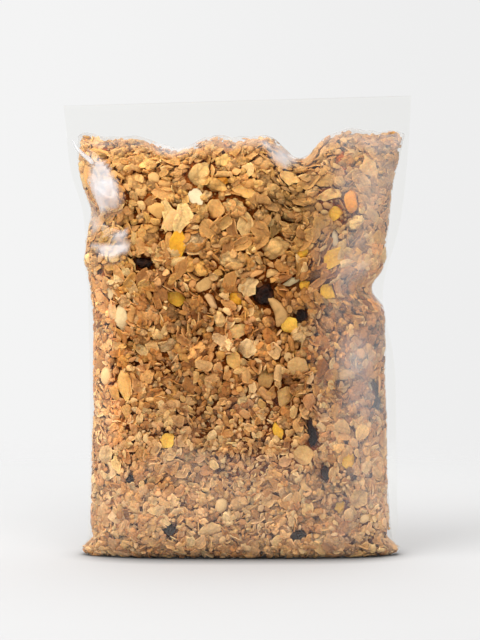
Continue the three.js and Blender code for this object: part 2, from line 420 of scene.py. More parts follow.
class Heap:
    """Pieces laid one after another on the chart, under the film. Each sinks a little into those before it."""

    def __init__(self, ground, ceiling):
        self.heights = ground.copy()
        self.ceiling = ceiling
        self.owner = np.full(ground.shape, -1)
        self.kept = np.zeros(ground.shape, bool)
        self.pieces = []

    def drop(self, kind, row, col, size, tilt, yaw, slack=0.0, room=1.7, keep=False):
        """Lays a piece, an ellipsoid with the three half sizes given, where it comes to rest. It is left
        out where it would be hidden, leave more than room under it, or cover a piece that is to be kept in
        view."""
        if SQUEEZED[row, col]:
            return
        a, b, c = size
        ct, st = math.cos(tilt), math.sin(tilt)
        reach = int(max(a, math.hypot(b * ct, c * st)) / CELL) + 1
        rows = np.arange(max(0, row - reach), min(ROWS, row + reach + 1))
        if len(rows) < 3:
            return
        around = np.arange(-reach, reach + 1)
        window = np.ix_(rows, (col + around) % AROUND)
        dy = (rows - row)[:, None] * CELL
        dx = around[None, :] * CELL
        p = dx * math.cos(yaw) + dy * math.sin(yaw)
        q = dy * math.cos(yaw) - dx * math.sin(yaw)
        # The ellipsoid's height h over a cell solves m22 h^2 + 2 m12 q h + m11 q^2 = 1 - (p / a)^2.
        m11 = (ct / b) ** 2 + (st / c) ** 2
        m22 = (st / b) ** 2 + (ct / c) ** 2
        m12 = st * ct * (1 / b**2 - 1 / c**2)
        disc = (m12 * q) ** 2 - m22 * (m11 * q * q - (1 - (p / a) ** 2))
        inside = disc > 0
        if inside.sum() < 2:
            return
        if not keep and self.kept[window][inside].mean() > 0.15:
            return
        root = np.sqrt(np.where(inside, disc, 0))
        top = ((-m12 * q + root) / m22)[inside]
        bottom = ((-m12 * q - root) / m22)[inside]
        under = self.heights[window][inside]
        gap = under - bottom
        at = 0.55 * gap.max() + 0.45 * gap.mean()
        at = min(at, (self.ceiling[window][inside] - top).min() - slack)
        raised = top + at
        shown = raised > under
        if not keep and ((gap - at).mean() > room or shown.mean() < 0.35):
            return
        mark = inside.copy()
        mark[inside] = shown
        cells = tuple(np.broadcast_to(side, mark.shape)[mark] for side in window)
        self.heights[cells] = raised[shown]
        self.owner[cells] = len(self.pieces)
        if keep:
            self.kept[window] |= inside
        self.pieces.append((kind, row, col, at, a, b, c, tilt, yaw))

    def low_spot(self, rng, tries):
        """The emptiest of some random cells."""
        rows = rng.integers(0, ROWS, tries)
        cols = rng.integers(0, AROUND, tries)
        best = np.argmin(self.heights[rows, cols] - self.ceiling[rows, cols] + 1.5 * LOOSE[rows, cols])
        return int(rows[best]), int(cols[best])


CORE = blend(CORE_SHALLOW, CORE_DEEP, LOOSE * (1 - smooth_step(Z, 180, 205)))
CORE_HEIGHT = -CORE + 0.7 * soft_noise(7, 21)
# The granola's upper edge is ragged: pieces reach up to the film by differing amounts.
CEILING = LIFT - 0.25 - 1.1 * np.abs(soft_noise(5, 22)) * smooth_step(Z, 196, 204)
CEILING -= EAR_HOLLOW * smooth_step(np.abs(X), 72, 76) * gauss(Z, 8, 4)

# ---- What stands out in the photo, on the front ----
# Runs of one kind in the order of laying: x, z, the three half sizes, and tilt and yaw in degrees.
HEROES = (
    ("raisin", (
        (13, 130, 7.6, 5.8, 3.4, 6, 25), (-47, 146, 5.8, 3.0, 2.2, 8, 172), (32, 120, 4.0, 3.2, 2.4, 0, 60),
        (37, 61, 8.4, 2.8, 2.4, 10, 100), (44, 41, 4.2, 2.4, 2.0, 10, 100), (71, 76, 4.4, 3.0, 2.4, 0, 80),
        (-54, 38, 2.8, 2.0, 1.8, 0, 20), (-34, 12, 4.2, 3.4, 2.2, 0, 60), (30, 9, 5.2, 3.0, 2.2, 0, 10),
    )),
    ("curved_nut", ((20, 122, 7.8, 3.6, 2.6, 0, 94),)),
    ("pale_nut", (
        (-67, 90, 5.0, 3.8, 2.6, 0, 70), (-8, 25, 4.4, 3.2, 2.4, 0, 70), (64, 18, 3.4, 2.6, 1.8, 0, 30),
    )),
    ("pale_chunk", (
        (-42, 189, 3.8, 3.0, 2.2, 0, 95), (-40, 172, 5.0, 4.0, 2.4, 4, 10),
        (-17, 135, 4.6, 3.6, 2.2, 8, 30), (-13, 127, 3.8, 3.2, 2.0, 8, 120), (17, 141, 3.0, 2.6, 1.8, 0, 5),
    )),
    ("yellow", (
        (47, 148, 7.0, 4.8, 1.0, 5, 20), (45, 131, 4.8, 4.0, 1.0, 6, 110), (-30, 156, 8.8, 3.8, 1.0, 4, 96),
        (49, 171, 4.4, 3.4, 0.9, 8, 30), (-31, 128, 4.6, 4.0, 1.0, 5, 20), (-35, 57, 4.0, 3.6, 1.0, 4, 50),
        (33, 134, 3.4, 3.0, 0.9, 8, 120), (33, 152, 3.6, 2.9, 0.9, 12, 60), (26, 115, 4.4, 3.8, 0.9, 6, 8),
        (56, 47, 4.6, 3.6, 1.0, 6, 20),
    )),
    ("butter", ((-57, 85, 7.6, 3.8, 1.0, 4, 95),)),
    ("yellow", ((20, 62, 4.8, 2.4, 0.9, 4, 110), (52, 24, 3.6, 2.8, 0.9, 4, 10))),
    ("orange", ((57, 177, 5.6, 3.6, 1.0, 4, 92), (-9, 187, 5.0, 2.8, 1.0, 16, 10))),
    ("butter", (
        (66, 194, 5.9, 5.5, 0.9, 6, 60), (46, 180, 5.8, 3.1, 1.0, 8, 8), (3, 182, 6.6, 3.6, 1.0, 8, 170),
        (-76, 190, 6.6, 3.2, 0.8, 4, 95), (30, 94, 5.6, 4.6, 1.0, 12, 30), (54, 90, 6.0, 2.4, 0.9, 14, 8),
        (-11, 173.5, 5.0, 4.4, 0.9, 6, 40), (26, 189, 5.2, 4.6, 0.9, 6, 70), (33, 50, 5.2, 5.0, 0.9, 4, 80),
    )),
    ("coconut", (
        (-58.5, 119, 7.4, 3.6, 0.8, 2, 98), (-65, 131, 3.4, 2.8, 0.8, 6, 60),
        (-21, 179, 4.8, 3.4, 0.8, 10, 100),
    )),
    ("pale_clump", ((-20, 192, 8.4, 7.0, 3.0, 0, 100), (-11, 185.5, 6.0, 4.0, 2.4, 0, 170))),
    ("butter", (
        (0, 112, 4.4, 3.8, 0.9, 6, 40), (-2, 97, 4.6, 3.6, 0.9, 6, 120), (14, 88, 5.0, 4.2, 0.9, 6, 80),
        (23, 79, 5.4, 4.4, 1.0, 5, 60), (-32, 168, 6.2, 4.6, 1.0, 5, 60),
    )),
    ("yellow", ((-1, 128, 3.4, 3.0, 0.9, 6, 60),)),
    ("coconut", (
        (26, 136, 4.0, 3.0, 0.8, 10, 20), (49, 159, 5.0, 1.7, 0.8, 10, 100),
        (69, 84, 4.0, 2.2, 0.7, 6, 110),
    )),
    ("big_flake", (
        (4, 165, 5.8, 4.0, 0.8, 4, 102), (5, 134, 5.4, 4.2, 0.8, 10, 60), (-34, 170, 8.4, 3.3, 1.0, 6, 98),
        (-27, 169, 8.2, 4.4, 1.0, 6, 80), (44, 188, 5.2, 3.8, 0.8, 6, 155), (5, 103, 5.0, 4.6, 0.8, 4, 60),
        (-35, 105, 5.4, 2.8, 0.8, 8, 30), (-14, 12, 6.0, 3.8, 0.8, 4, 20), (61, 28, 5.2, 4.8, 0.8, 4, 50),
        (-66, 50, 5.0, 4.0, 0.8, 4, 80),
    )),
    ("pale_clump", (
        (19, 154, 6.8, 5.6, 2.6, 0, 20), (-7, 199, 4.6, 4.2, 2.2, 0, 90), (-9, 118, 4.2, 3.4, 2.0, 0, 60),
    )),
    ("cluster", (
        (-52, 185, 7.4, 6.4, 3.2, 0, 90), (-44, 196, 6.0, 4.6, 2.8, 0, 80),
        (-57, 169, 5.6, 4.6, 2.6, 0, 30), (-29, 193, 5.0, 4.2, 2.4, 0, 60),
        (-1, 174, 6.0, 4.4, 2.6, 0, 150), (12, 197, 5.6, 4.2, 2.4, 0, 10),
        (31, 192.5, 4.6, 3.4, 2.2, 0, 20),
    )),
    ("butter", ((-70, 204, 7.2, 3.2, 0.9, 4, 157),)),
    ("cluster", (
        (55, 199, 5.4, 3.8, 2.4, 0, 20), (-45, 160, 6.2, 5.0, 2.8, 0, 140), (59, 166, 6.0, 4.0, 2.6, 0, 10),
        (-22, 157, 6.8, 5.6, 3.0, 0, 10), (-3, 148, 7.4, 5.0, 3.0, 0, 170),
    )),
)
FLAT_KINDS = ("flake", "curl", "split")
# A piece becomes a mesh where at least this many of its cells show.
LEAST_CELLS = {"flake": 10, "curl": 10, "split": 7, "cluster": 14, "clump": 9, "lump": 7, "chunk": 7}
LEAST_OF_OTHERS = 4

# A kind's half length from and to, then its half width and half depth as shares of that.
HALF_SIZES = {
    "flake": (3.2, 5.2, 0.58, 0.82, 0.11, 0.16),
    "curl": (2.8, 4.6, 0.42, 0.64, 0.26, 0.38),
    "split": (1.5, 3.3, 0.4, 0.75, 0.14, 0.22),
    "cluster": (4.8, 7.6, 0.62, 0.85, 0.36, 0.48),
    "clump": (2.6, 4.3, 0.65, 0.9, 0.45, 0.6),
    "lump": (1.4, 2.5, 0.7, 0.95, 0.5, 0.7),
    "chunk": (1.5, 3.0, 0.55, 0.9, 0.4, 0.6),
    "crumb": (0.5, 1.2, 0.6, 0.9, 0.35, 0.7),
}


def half_sizes(kind, rng, scale):
    """A piece's three half sizes, drawn from its kind's range."""
    low, high, wide_low, wide_high, deep_low, deep_high = HALF_SIZES[kind]
    a = rng.uniform(low, high) * scale
    return a, a * rng.uniform(wide_low, wide_high), a * rng.uniform(deep_low, deep_high)


def fill_pouch():
    """Fills the heap: a first layer, what stands out, and then ever smaller pieces."""
    rng = np.random.default_rng(31)
    heap = Heap(CORE_HEIGHT, CEILING)

    def spread(count, tries, kinds, room=1.7, deepest=3.2):
        """Drops count pieces of the kinds, each at the lowest of as many random spots as tries."""
        for _ in range(count):
            row, col = heap.low_spot(rng, tries)
            loose = max(LOOSE[row, col], 0.3)
            kind = kinds[rng.integers(len(kinds))]
            size = half_sizes(kind, rng, PIECE_SCALE[row, col])
            lean = abs(rng.normal(0, blend(9, 36, loose)))
            yaw = rng.uniform(0, 2 * math.pi)
            if kind in FLAT_KINDS and rng.random() < 0.08 + 0.34 * loose:
                lean = rng.uniform(50, 88)
                yaw = GRAIN_WAY[row, col] + rng.normal(0, 0.35)
            gap = rng.random() ** 2 * deepest * loose
            heap.drop(kind, row, col, size, math.radians(min(lean, 90)), yaw, gap, room)

    spread(1100, 2, ("flake", "curl", "clump"), room=9)
    for kind, places in HEROES:
        for x, z, a, b, c, tilt, yaw in places:
            row, col = front_cell(x, z)
            heap.drop(kind, row, col, (a, b, c), math.radians(tilt), math.radians(yaw), 0.05, keep=True)
    scatter_heroes(heap, rng)
    crown_top(heap, rng)
    spread(520, 3, ("cluster",), room=2.6)
    spread(2600, 3, ("flake", "flake", "curl", "clump", "clump"))
    spread(4200, 6, ("split", "split", "flake", "lump", "chunk", "curl"))
    spread(3600, 8, ("split", "lump", "chunk", "split", "crumb"), room=1.4, deepest=1.5)
    spread(3600, 8, ("crumb", "crumb", "split"), room=1.2, deepest=1.0)
    return heap


def crown_top(heap, rng):
    """Large clumps along the granola's upper edge, on both sides of its ridge."""
    for x in np.arange(-70, 74, 7.5):
        for facing in (AROUND // 2, 0):
            half = SEEN_X[:, facing : facing + AROUND // 2]
            row = ROWS - int(rng.integers(22, 40))
            col = facing + int(np.argmin(np.abs(half[row] - x - rng.uniform(-2, 2))))
            kind = ("clump", "cluster", "clump")[rng.integers(3)]
            size = half_sizes(kind, rng, 1.0)
            tilt, yaw, slack = rng.uniform(0, 0.5), rng.uniform(0, 6.28), rng.uniform(0, 1.2)
            heap.drop(kind, row, col, size, tilt, yaw, slack, room=2.6)


# How many of each are scattered over the faces that the photo doesn't show.
HIDDEN_COUNTS = {
    "raisin": 12, "curved_nut": 2, "pale_nut": 4, "pale_chunk": 8, "yellow": 14,
    "orange": 3, "butter": 12, "coconut": 9, "big_flake": 12, "pale_clump": 5,
}


def scatter_heroes(heap, rng):
    """The same kinds of fruit and nuts on the faces that the photo doesn't show."""
    sizes = {kind: places[-1][2:5] for kind, places in HEROES}
    for kind, count in HIDDEN_COUNTS.items():
        for _ in range(count):
            row = int(rng.integers(BASE_ROWS + 8, ROWS - 60))
            col = int(rng.integers(8, AROUND // 2 - 8))
            size = np.multiply(sizes[kind], rng.uniform(0.6, 1.0))
            tilt = math.radians(rng.uniform(0, 14))
            heap.drop(kind, row, col, size, tilt, rng.uniform(0, 6.28), 0.05, keep=True)


# ---- Piece shapes, as unit forms ----
def plate_form(segments, radii, inner=None):
    """A thin plate's points as ring radius, spoke and side: rings over its top out to the rim, the same rim
    below, an inner ring below where inner is given, and the middle below."""
    radius = [0.0]
    spoke = [0]
    side = [1.0]
    rings = [(r, 1.0) for r in radii] + [(1.0, -1.0)] + ([(inner, -1.0)] if inner else [])
    for r, facing in rings:
        radius += [r] * segments
        spoke += range(segments)
        side += [facing] * segments
    bottom = len(radius)
    radius.append(0.0)
    spoke.append(0)
    side.append(-1.0)

    def at(ring, i):
        return 1 + ring * segments + i % segments

    faces = []
    last = len(rings) - 1
    for i in range(segments):
        faces.append((0, at(0, i), at(0, i + 1)))
        for k in range(last):
            faces.append((at(k, i), at(k + 1, i), at(k + 1, i + 1)))
            faces.append((at(k, i), at(k + 1, i + 1), at(k, i + 1)))
        faces.append((at(last, i), bottom, at(last, i + 1)))
    return np.array(radius), np.array(spoke), np.array(side), np.array(faces)


def ragged_edges(count, segments, rng, ragged, cuts):
    """How far each spoke of each plate reaches: a wavy oval, cut straight where it has broken."""
    turn = np.arange(segments) * 2 * math.pi / segments
    edge = np.ones((count, segments))
    for wave in (2, 3, 4, 5, 6):
        size = rng.normal(0, 0.14 * ragged / wave**0.6, (count, 1))
        edge += size * np.cos(wave * turn + rng.uniform(0, 6.28, (count, 1)))
    edge += rng.normal(0, 0.05 * ragged, edge.shape)
    for _ in range(cuts):
        near = np.cos(turn - rng.uniform(0, 6.28, (count, 1)))
        line = rng.uniform(0.5, 1.35, (count, 1)) / np.maximum(near, 0.05)
        edge = np.where(near > 0.05, np.minimum(edge, line), edge)
    return np.clip(edge, 0.35, 1.3)


def plate_points(form, sizes, rng, curl, ragged=0.8, cuts=1, crumple=0.1, thick=0.85, fold=0.3):
    """Plates of the given half sizes, ragged, crumpled, folded and rolled up across their width. curl is
    the range of the angle that half the width turns through."""
    radius, spoke, side, _ = form
    segments = spoke.max() + 1
    count = len(sizes)
    a, b = sizes[:, :1], sizes[:, 1:2]
    edge = ragged_edges(count, segments, rng, ragged, cuts)[:, spoke]
    angle = spoke * 2 * math.pi / segments
    u = radius * np.cos(angle) * edge
    v = radius * np.sin(angle) * edge
    k = rng.uniform(*curl, (count, 1)) * rng.choice([1, 1, -1], (count, 1))
    bend = b / np.sin(np.minimum(np.abs(k), math.pi / 2))
    way = k * v
    width = bend * np.sin(np.abs(k) * v)
    rise = np.sign(k) * bend * (1 - np.cos(way))
    rise += rng.normal(0, 0.12, (count, 1)) * a * u * u + rng.normal(0, 0.14, (count, 1)) * a * u * v
    for _ in range(3):
        length = rng.uniform(1.8, 4.5, (count, 1))
        course = rng.uniform(0, 6.28, (count, 1))
        phase = (u * a * np.cos(course) + v * b * np.sin(course)) * 2 * math.pi / length
        rise += crumple * length / 3 * np.sin(phase + rng.uniform(0, 6.28, (count, 1)))
    course = rng.uniform(0, 6.28, (count, 1))
    hinge = np.maximum(0, u * np.cos(course) + v * np.sin(course) - rng.uniform(-0.1, 0.5, (count, 1)))
    rise += rng.normal(0, fold, (count, 1)) * b * hinge
    rise -= (rise.max(1, keepdims=True) + rise.min(1, keepdims=True)) / 2
    half = thick / 2 * side * rng.uniform(0.8, 1.3, (count, 1)) * (1.1 - 0.7 * radius**3)
    points = np.stack([u * a, width - np.sin(way) * half, rise + np.cos(way) * half], -1)
    return points, np.broadcast_to(radius, u.shape), u, v


FINE_PLATE = plate_form(18, (0.35, 0.64, 0.85, 1.0), 0.55)
WIDE_PLATE = plate_form(14, (0.45, 0.78, 1.0), 0.55)
NARROW_PLATE = plate_form(10, (0.6, 1.0))
TINY_PLATE = plate_form(7, (1.0,))


def ball_form(rounds):
    """An icosphere as unit points and faces."""
    made = bmesh.new()
    bmesh.ops.create_icosphere(made, subdivisions=rounds, radius=1)
    made.verts.index_update()
    points = np.array([v.co for v in made.verts])
    faces = np.array([[v.index for v in f.verts] for f in made.faces])
    made.free()
    return points, faces


def knobbly(points, sizes, rng, knobs, size, sharp, rough=0.02):
    """Balls with rounded knobs in random directions. Also gives each point's shade: its knob's own tone, and
    darker in the creases between knobs, which is painted shade."""
    count = len(sizes)
    out = np.zeros((count, len(points)))
    shade = np.ones((count, len(points)))
    for _ in range(knobs):
        way = unit(rng.standard_normal((count, 3)))
        stand = size * rng.uniform(0.5, 1, (count, 1)) * np.exp((way @ points.T - 1) * sharp)
        shade = np.where(stand > out, rng.normal(1, 0.13, (count, 1)), shade)
        out = np.maximum(out, stand)
    reach = 1 - size * 0.6 + out + rng.normal(0, rough, out.shape)
    depth = np.clip(1 - out / size, 0, 1)
    # Painted shade: points deep in the creases between knobs are darker.
    return points[None] * reach[..., None] * sizes[:, None, :], shade * (1.08 - 0.5 * depth**1.5)


def stuck_flakes(form, sizes, rng, count):
    """Flakes baked onto balls of the given half sizes, count on the upper side of each."""
    total = len(sizes) * count
    body = np.repeat(sizes, count, 0)
    half = np.clip(body[:, 1] * rng.uniform(0.45, 0.75, total), 1.1, 3.4)
    flakes = np.stack([half, half * rng.uniform(0.6, 0.85, total)], 1)
    local, _, _, _ = plate_points(form, flakes, rng, curl=(0.1, 0.7), ragged=0.6, crumple=0.08, fold=0.15)
    way = rng.standard_normal((total, 3))
    way[:, 2] = np.abs(way[:, 2]) + 0.4
    way = unit(way)
    up = unit(unit(way / body) + rng.normal(0, 0.2, (total, 3)))
    aside = unit(np.cross(up, rng.standard_normal((total, 3))))
    third = np.cross(up, aside)
    points = (way * body * 0.92)[:, None, :]
    for k, axis in enumerate((aside, third, up)):
        points = points + local[..., k : k + 1] * axis[:, None, :]
    shade = np.broadcast_to(rng.normal(1, 0.13, (total, 1)), points.shape[:2])
    return points.reshape(len(sizes), -1, 3), shade.reshape(len(sizes), -1)


def repeat_faces(form, count):
    """The faces of count plates whose points follow one another."""
    return np.concatenate([form[3] + k * len(form[0]) for k in range(count)])


def hewn(points, sizes, rng, planes=7):
    """Angular chunks: balls cut flat in random directions."""
    count = len(sizes)
    reach = np.full((count, len(points)), 1.12)
    shade = np.ones((count, len(points)))
    for _ in range(planes):
        way = unit(rng.standard_normal((count, 3)))
        near = way @ points.T
        cut = rng.uniform(0.55, 0.85, (count, 1)) / np.maximum(near, 0.05)
        lower = (near > 0.05) & (cut < reach)
        reach = np.where(lower, cut, reach)
        shade = np.where(lower, rng.normal(1, 0.06, (count, 1)), shade)
    return points[None] * reach[..., None] * sizes[:, None, :], shade


def wrinkled(points, sizes, rng):
    """Raisins: blunt bodies with fine folds that run along them. Their colour is lighter on the folds' ridges
    and darker in their grooves: painted highlight and painted shade.
    """
    local = points[None] * sizes[:, None, :]
    fold = np.zeros(local.shape[:2])
    stretch = np.array([0.45, 1.0, 1.0])
    for span, depth in ((2.2, 0.16), (5.0, 0.14), (9.0, 0.09)):
        way = rng.standard_normal((len(sizes), 3, 3)) * stretch[None, :, None]
        phase = rng.uniform(0, 6.28, (len(sizes), 1, 3))
        wave = np.sin(np.einsum("vk,nkj->nvj", points, way) * span * 1.1 + phase)
        fold += depth * (1 - 2 * np.abs(wave).mean(-1))
    # Painted highlight and shade: the folds' ridges are lighter and their grooves darker.
    return local * (0.9 + fold)[..., None], np.exp(6 * np.clip(fold, -0.25, 0.22))


def smooth_kernel(points, sizes, rng):
    local = points[None] * sizes[:, None, :] * (1 + 0.015 * rng.standard_normal((len(sizes), len(points), 1)))
    return local, np.ones(local.shape[:2])


def bent_kernel(points, sizes, rng):
    """A kernel bent along its length, with darker bands across its hollow side."""
    local, shade = smooth_kernel(points, sizes, rng)
    along, across = points[None, :, 0], points[None, :, 1]
    local[..., 1] += 0.5 * sizes[:, 1:2] * (1.6 * along**2 - 0.7)
    bands = smooth_step(np.sin(along * 11 + across * 3), 0.3, 0.9) * smooth_step(across, -0.5, 0.3)
    return local, shade * (1 - 0.3 * bands * (np.abs(along) < 0.6))


# ---- Colours, as they look in daylight (sRGB), turned to linear ----
def linear(colour):
    """Colours from 0 to 255 as they look, turned to linear light."""
    value = np.array(colour, float) / 255
    return np.where(value <= 0.04045, value / 12.92, ((value + 0.055) / 1.055) ** 2.4)


def palette(*colours):
    return linear(colours)


GOLDEN = palette((222, 158, 92), (214, 149, 82), (226, 167, 104), (216, 154, 79), (213, 149, 88))
PALE = palette((238, 184, 118), (234, 178, 108), (240, 194, 132), (236, 186, 124))
TOASTED = palette((200, 134, 64), (192, 124, 58), (206, 140, 70), (196, 130, 70))
BROWN = palette((166, 103, 48), (154, 94, 44), (180, 115, 56))
RAISIN = palette((62, 30, 14), (56, 28, 15), (48, 24, 13))
NUT = palette((242, 200, 144), (238, 194, 134))
BUTTER = palette((234, 180, 106), (236, 184, 114), (230, 174, 98))
YELLOW = palette((252, 189, 54), (246, 176, 42), (252, 193, 74), (252, 188, 58))
ORANGE = palette((238, 156, 44))
COCONUT = palette((246, 222, 174), (242, 212, 158))
KERNEL = palette((228, 178, 116), (222, 170, 106))
OAT_MIX = ((GOLDEN, 0.46), (PALE, 0.28), (TOASTED, 0.22), (BROWN, 0.04))
CLUMP_MIX = ((GOLDEN, 0.5), (PALE, 0.14), (TOASTED, 0.27), (BROWN, 0.09))
CHUNK_MIX = ((GOLDEN, 0.5), (PALE, 0.22), (TOASTED, 0.28))
BIG_FLAKE_MIX = ((PALE, 0.6), (GOLDEN, 0.4))
PALE_CLUMP_MIX = ((BUTTER, 0.6), (PALE, 0.4))
PALE_CHUNK_MIX = ((BUTTER, 0.5), (PALE, 0.5))
PLAIN = (GOLDEN, PALE, TOASTED, BROWN)
FADING = (GOLDEN, PALE)
HUE_SPREAD = (0.01, 0.009, 0.05)
OVERALL_TONE = 1.03
# How light the pieces are from place to place: darker where they lie loose, and darker towards the foot,
# painted shade where the underside turns away from the light.
TONE_SWELL_AND_FOOT_SHADE = (1 + 0.07 * soft_noise(24, 41)) * (1 - 0.12 * LOOSE)
# painted shade: pieces are darker in the lowest 5 mm, where the underside turns away from the light
TONE_SWELL_AND_FOOT_SHADE *= blend(0.85, 1.0, smooth_step(Z, 0, 5))
TONE_SWELL_AND_FOOT_SHADE *= blend(0.95, 1.0, smooth_step(Z, 40, 80))
TONE_SWELL_AND_FOOT_SHADE *= OVERALL_TONE
# Painted shade and highlight: darker, browner patches on the front where the granola lies in shade, and one
# lighter patch on the left that stands in for highlights: middle x and z, reach, and how much darker.
SHADE_PATCHES = (
    (22, 175, 13, 0.36),
    (46, 186, 22, 0.26),
    (42, 118, 20, 0.26),
    (66, 186, 10, 0.1),
    (-20, 87, 14, 0.28),
    (-28, 50, 16, 0.16),
    (-62, 132, 12, -0.22),
    (66, 108, 14, 0.14),
)
PATCH_SHADE = np.ones(X.shape)
# painted shade and highlight of the patches
for patch_x, patch_z, reach, darker in SHADE_PATCHES:
    PATCH_SHADE *= 1 - FRONT * darker * gauss(X, patch_x, reach) * gauss(Z, patch_z, reach)
# Towards the foot and the left edge the granola is paler.
CREAM = linear((226, 194, 144))
PALENESS = 0.3 * (1 - smooth_step(Z, 40, 100)) + 0.16 * FRONT * (1 - smooth_step(X, -70, -60))
PALENESS = np.clip(PALENESS, 0, 0.3)
# In the upper part the flakes are more alike, and what shows between them is lighter.
MIDDLE = linear((228, 176, 108))
ALIKE = 0.3 * smooth_step(Z, 130, 170)
CORE_TONE = linear((186, 100, 36))
CORE_LIGHTER = 0.2


def is_one_of(palettes, some):
    """Which of the palettes are among some."""
    return np.array([any(palette is one for one in some) for palette in palettes])


def pick_tones(table, mix, rng, jitter=0.07):
    """A colour for each piece: one from its mix, shifted by where the piece lies."""
    count = len(table)
    palettes, share = zip(*mix)
    which = rng.choice(len(mix), count, p=np.array(share) / sum(share))
    tones = np.array([palettes[w][rng.integers(len(palettes[w]))] for w in which])
    cells = table[:, 0].astype(int), table[:, 1].astype(int)
    plain = is_one_of(palettes, PLAIN)[which]
    fading = is_one_of(palettes, FADING)[which]
    tones = blend(tones, CREAM, (PALENESS[cells] * (0.5 * plain + 0.5 * fading))[:, None])
    tones = blend(tones, MIDDLE, (ALIKE[cells] * plain)[:, None])
    tones[:, 1] *= 1 + 0.035 * plain * smooth_step(Z[cells], 120, 170)
    # Painted light: pieces towards the left edge are made up to 12% lighter, on the key lamp's side.
    swell = TONE_SWELL_AND_FOOT_SHADE[cells] * (1 + 0.12 * (1 - smooth_step(X[cells], -70, -40)))
    # Plain pieces take the patches' painted shade and highlight.
    swell *= np.where(plain, PATCH_SHADE[cells], 1)
    hue = 1 + np.multiply(HUE_SPREAD, rng.standard_normal((count, 3)))
    return tones * swell[:, None] * (1 + jitter * rng.standard_normal((count, 1))) * np.clip(hue, 0.7, 1.3)


# ---- Nodes ----
WHITE = (1, 1, 1, 1)
# The veil's white: the film's own milkiness, and painted reflection and painted highlight where film_haze lays
# it.
MILK_AND_REFLECTION = (0.78, 0.78, 0.8, 1)
SPOT = (0.68, 0.5, 0.33, 1)  # toasted spots multiply the tone by this


def node_builder(tree):
    """Clears a node tree and gives the function that adds nodes to it."""
    tree.nodes.clear()

    def add(kind, *sources, out=0, **settings):
        """Adds a node and gives one of its outputs. sources go to its first inputs in turn. Of the
        settings, those in lower case are the node's own values, and the others its inputs by name. Sockets
        are linked."""
        node = tree.nodes.new("ShaderNode" + kind)
        named = {socket.identifier: socket for socket in node.inputs}
        inputs = list(zip(node.inputs, sources))
        for key, value in settings.items():
            if key.islower():
                setattr(node, key, value)
            else:
                inputs.append((named[key if key in named else key.replace("_", " ")], value))
        for socket, value in inputs:
            if isinstance(value, bpy.types.NodeSocket):
                tree.links.new(value, socket)
            else:
                socket.default_value = value
        return node.outputs[out] if node.outputs else None

    return add


def node_material(name):
    """A new material, and the function that adds nodes to it."""
    material = bpy.data.materials.new(name)
    material.use_nodes = True
    return material, node_builder(material.node_tree)


def crumbly(name, roughness, mottle, spot, stripe=0.0, rim=0.0, bump=0.5, sheen=0.4, cells=0.0, glaze=0.0,
            glow=0.0, groove=0.0):
    """Toasted food: its piece's own tone, mottled and spotted, with fine stripes and a darker groove along it.
    Its rims are painted lighter where rim is above 0, a painted highlight, and darker where rim is below 0,
    toasted edges. Where cells is given it has knobs of about 1.5 mm, painted lighter on top and darker in the
    creases between them, which is painted shade."""
    material, add = node_material(name)
    here = add("TexCoord", out="Object")
    grain = add("Attribute", out="Vector", attribute_name="grain")
    _, across, rim_near = add("SeparateXYZ", grain).node.outputs

    def scaled(colour, source, low, high, start, end):
        """The colour times a factor that goes from start to end as the source goes from low to high."""
        share = add("MapRange", source, low, high, start, end)
        return add("VectorMath", colour, Scale=share, operation="SCALE")

    fine = add("TexNoise", here, out="Fac", Scale=800, Detail=4, Roughness=0.65)
    broad = add("TexNoise", here, out="Fac", Scale=230, Detail=2, Roughness=0.5)
    tone = add("Attribute", out="Color", attribute_name="tone")
    colour = scaled(tone, fine, 0.3, 0.7, 1 - mottle, 1 + mottle * 0.7)
    spots = add("MapRange", broad, 0.5, 0.72, 0, spot)
    colour = add("Mix", spots, out=2, A_Color=colour, B_Color=SPOT, data_type="RGBA", blend_type="MULTIPLY")
    # Painted highlight: a rim above 0 lightens the rims. A rim below 0 darkens them, as toasted edges.
    if rim:
        colour = scaled(colour, rim_near, 0.72, 1, 1, 1 + rim)
    if stripe:
        lines = add("TexWave", grain, out="Fac", Scale=1.1, Distortion=2.4, Detail=2, Detail_Scale=1.4,
                    bands_direction="Y")
        colour = scaled(colour, lines, 0, 1, 1 - stripe, 1 + 0.4 * stripe)
    if groove:
        colour = scaled(colour, add("Math", across, operation="ABSOLUTE"), 0.1, 0.75, 1 - groove, 1)
    height = fine
    if cells:
        knobs = add("TexVoronoi", here, Scale=620, feature="SMOOTH_F1", Smoothness=0.25)
        # Painted shade: knob tops are lighter and the creases between knobs darker.
        colour = scaled(colour, knobs, 0.2, 0.75, 1 + 0.3 * cells, 1 - cells)
        height = add("Math", knobs, -1.6, fine, operation="MULTIPLY_ADD")
    relief = add("Bump", Height=height, Strength=bump, Distance=0.0006)
    shader = add("BsdfPrincipled", colour, Roughness=roughness, Specular_IOR_Level=sheen, Coat_Weight=glaze,
                 Coat_Roughness=0.22, Subsurface_Weight=glow, Subsurface_Radius=(1, 0.45, 0.18),
                 Subsurface_Scale=0.001, Normal=relief)
    add("OutputMaterial", shader)
    return material


